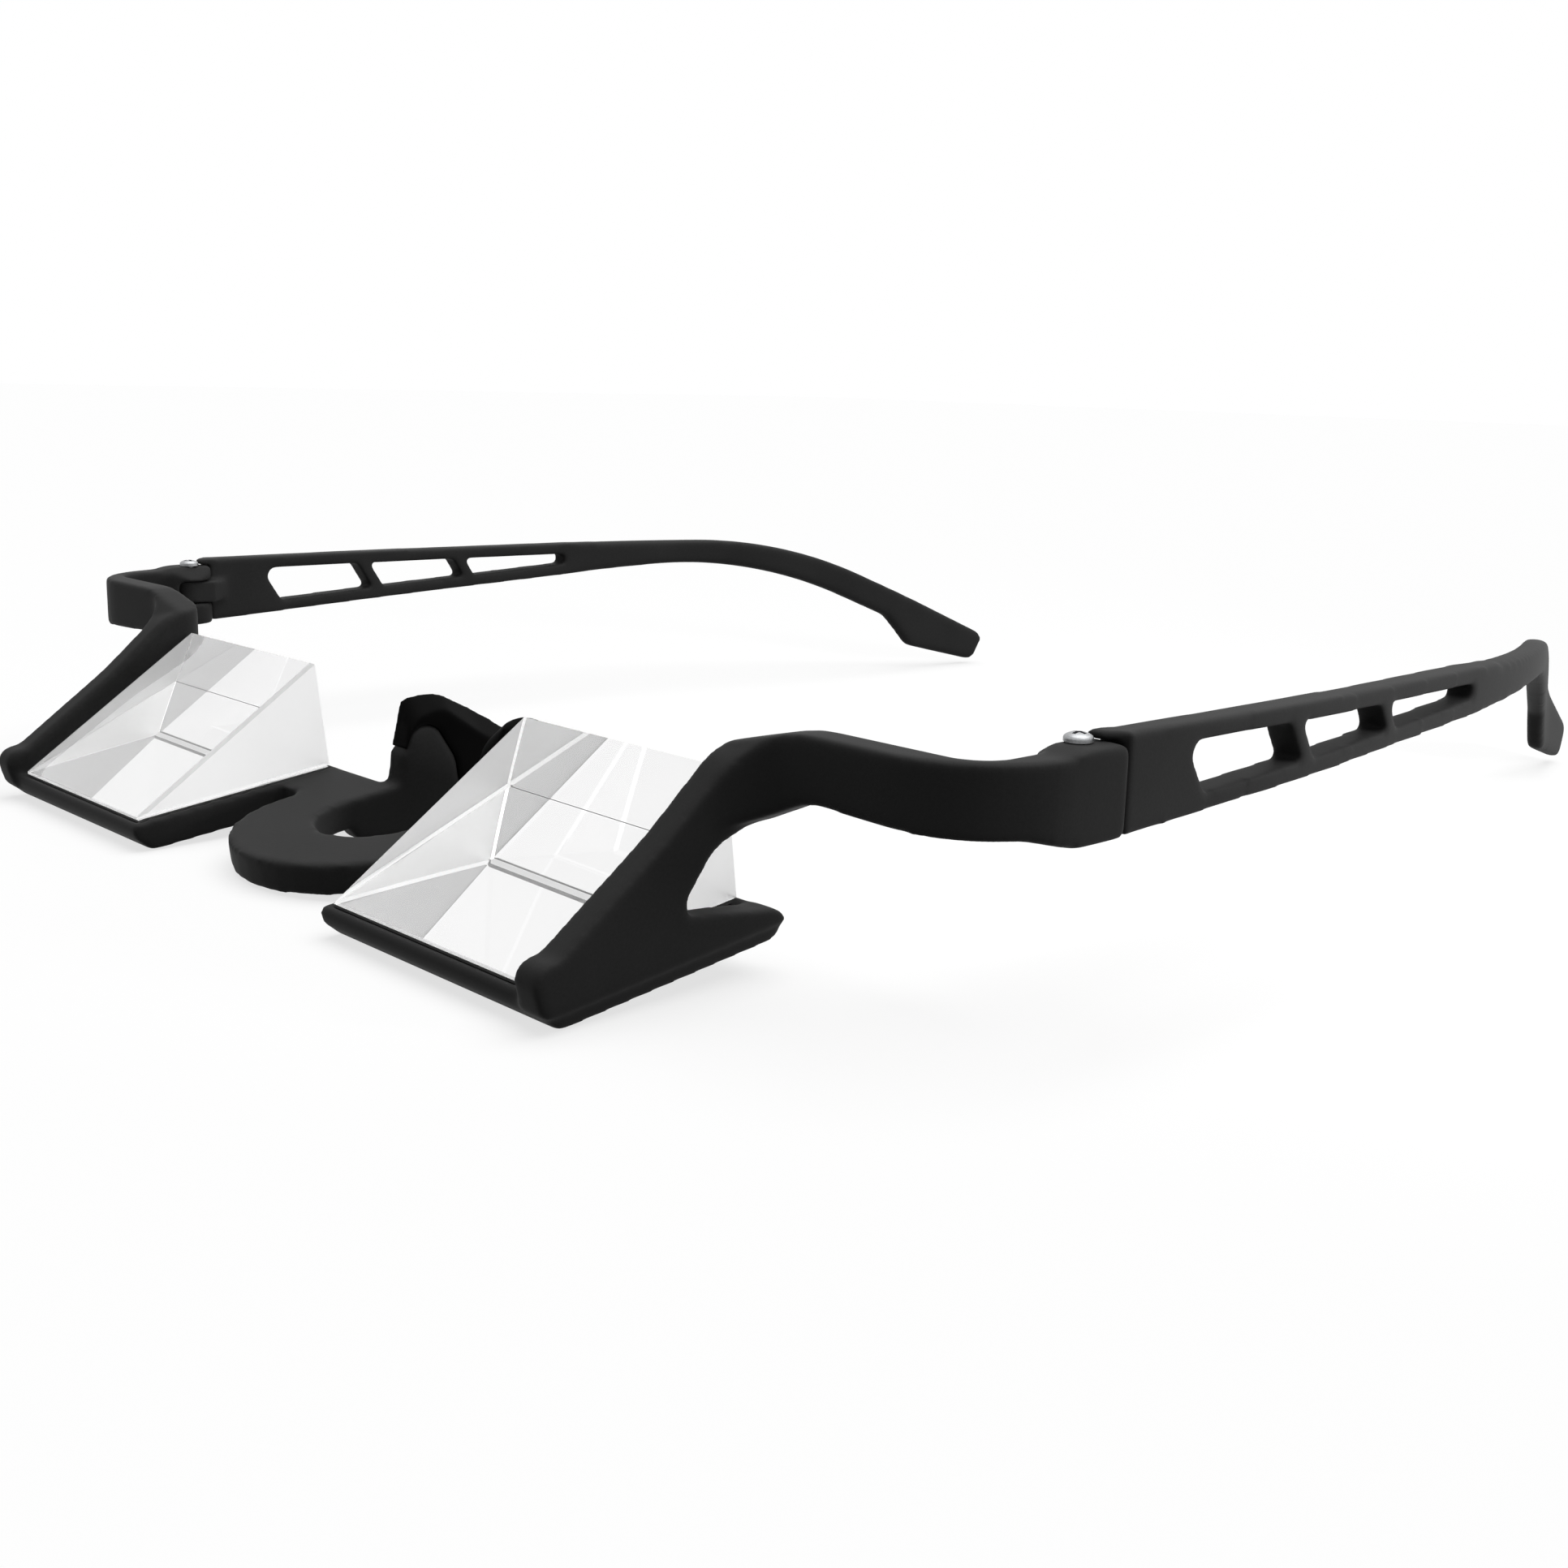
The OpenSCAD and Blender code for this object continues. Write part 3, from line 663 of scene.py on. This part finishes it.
def cross_cutter(middle, top):
    """A cross whose arms narrow downwards, as a screwdriver's tip does."""
    shape = bmesh.new()
    for turn in (0, math.pi / 2):
        spin = Matrix.Rotation(turn, 4, "Z")
        low, high = [[shape.verts.new(middle + spin @ Vector((x * MM, y * MM, 0))
                                      + Vector((0, 0, top + z * MM)))
                      for x, y in ((-long, -wide), (long, -wide), (long, wide), (-long, wide))]
                     for long, wide, z in RECESS_ENDS]
        shape.faces.new(low[::-1])
        shape.faces.new(high)
        for k in range(4):
            n = (k + 1) % 4
            shape.faces.new([low[k], low[n], high[n], high[k]])
    for face in shape.faces:
        face.material_index = RECESS
    return mesh_from(shape, "cutter")


for side in SIDES:
    low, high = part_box(f"hinge_screw_{side}")
    middle = Vector(((low.x + high.x) / 2, (low.y + high.y) / 2, 0))
    profile = screw_profile((high.x - low.x) / 2, low.z, high.z)
    blank = placed("blank", mesh_from(lathe(profile, middle), f"screw_{side}"))
    cutter = placed("cutter", cross_cutter(middle, high.z))
    cut = blank.modifiers.new("recess", "BOOLEAN")
    cut.operation, cut.solver, cut.use_self, cut.object = "DIFFERENCE", "EXACT", True, cutter
    whole = with_modifiers(blank)
    for helper in (blank, cutter):
        bpy.data.objects.remove(helper)
    dress(f"hinge_screw_{side}", f"hinge_screw_{side}_turned", whole,
          "front", "screw_steel", screw_steel, recess_painted_shade)

# %% [markdown]
# Floor, light and background
#
# The photograph has a pure white ground. Lighting a floor until it clips would also wash out
# the object. So the floor glows only towards the camera, glass and metal, and still takes a soft
# shadow, and matte faces see it as a dark grey that sends little light up. The room is white
# in the same way: seen directly or in the glass it is full white, and as a light it is dim. A
# wide lamp overhead gives the top faces their grey, and a soft spot from the left rear lifts the
# temples behind the cut-outs.

# %% Lay the floor
FLOOR_HALF = 3.0
FLOOR_DARK, FLOOR_PALE, FLOOR_GLOW = 0.12, 0.3, 0.72


def floor_finish():
    finish = new_finish("floor_white")
    dark = finish.node("BsdfDiffuse", None, {"Color": rgba(FLOOR_DARK)})
    pale = finish.node("BsdfDiffuse", None, {"Color": rgba(FLOOR_PALE)})
    glow = finish.node("Emission", None, {"Color": rgba(1.0), "Strength": FLOOR_GLOW})
    white = finish.node("AddShader", None, {0: pale, 1: glow})
    return finish.ends_in(finish.node("MixShader", None, {0: finish.seen(), 1: dark, 2: white}))


floor_mesh = bpy.data.meshes.new("floor")
floor_mesh.from_pydata([(x * FLOOR_HALF, y * FLOOR_HALF, 0) for x, y in
                        ((-1, -1), (1, -1), (1, 1), (-1, 1))], [], [(0, 1, 2, 3)])
floor_mesh.materials.append(floor_finish())
placed("floor", floor_mesh)
print("floor:", 2 * FLOOR_HALF, "m wide")

# %% Fill the room with white
AMBIENT = 0.16  # share of full white that lights matte faces
scene.world = bpy.data.worlds.new("white_room")
room = Finish(scene.world)
strength = room.seen() * (1.0 - AMBIENT) + AMBIENT
room.ends_in(room.node("Background", None, {"Color": rgba(1.0), "Strength": strength}), "World")
print("room:", scene.world.name)

# %% Hang the lamps
OVERHEAD = 0.76  # share of a white card's brightness that comes from overhead
OVERHEAD_TURN = (math.radians(-14), math.radians(5), 0)
SPOT_PLACE, SPOT_AIM = Vector((215, 45, 62)) * MM, Vector((70, 34, 14)) * MM
SPOT_WATTS, SPOT_RADIUS = 0.95, 25 * MM

overhead = bpy.data.lights.new("overhead", "SUN")
overhead.energy, overhead.angle = OVERHEAD * math.pi, math.radians(70)
placed("overhead", overhead).rotation_euler = OVERHEAD_TURN

spot = bpy.data.lights.new("rear_spot", "SPOT")
spot.energy, spot.shadow_soft_size = SPOT_WATTS, SPOT_RADIUS
spot.spot_size, spot.spot_blend = math.radians(76), 1.0
spot_lamp = placed("rear_spot", spot)
spot_lamp.location = SPOT_PLACE
spot_lamp.rotation_euler = (SPOT_AIM - SPOT_PLACE).to_track_quat("-Z", "Y").to_euler()
spot_lamp.visible_glossy = spot_lamp.visible_transmission = False
print("lamps:", overhead.name, spot.name)

# %% [markdown]
# The camera
#
# A camera could be moved by hand until the picture looks right. Here its place and lens come
# from fitting the prisms' corners, the screws and the temple tips to the picture instead. It
# stands about 22 centimetres away, to the wearer's left and a little above the frame, and is
# turned very slightly about its own axis.

# %% Place the camera
CAMERA_PLACE = Vector((151.218, -159.654, 47.896)) * MM
CAMERA_AZIMUTH, CAMERA_ELEVATION, CAMERA_ROLL = 45.655, 12.659, 1.573
FOCAL_PIXELS, PICTURE_PIXELS, SENSOR = 2240.6, 1932, 36.0

camera_data = bpy.data.cameras.new("camera")
camera_data.sensor_width = SENSOR
camera_data.lens = FOCAL_PIXELS / PICTURE_PIXELS * SENSOR
camera_data.clip_start, camera_data.clip_end = 0.005, 20
scene.camera = placed("camera", camera_data)
turn = (Matrix.Rotation(math.radians(CAMERA_AZIMUTH), 4, "Z")
        @ Matrix.Rotation(math.radians(90 - CAMERA_ELEVATION), 4, "X")
        @ Matrix.Rotation(math.radians(CAMERA_ROLL), 4, "Z"))
scene.camera.matrix_world = Matrix.Translation(CAMERA_PLACE) @ turn
scene.view_settings.view_transform = "Standard"
print("camera lens:", round(camera_data.lens, 2), "mm")
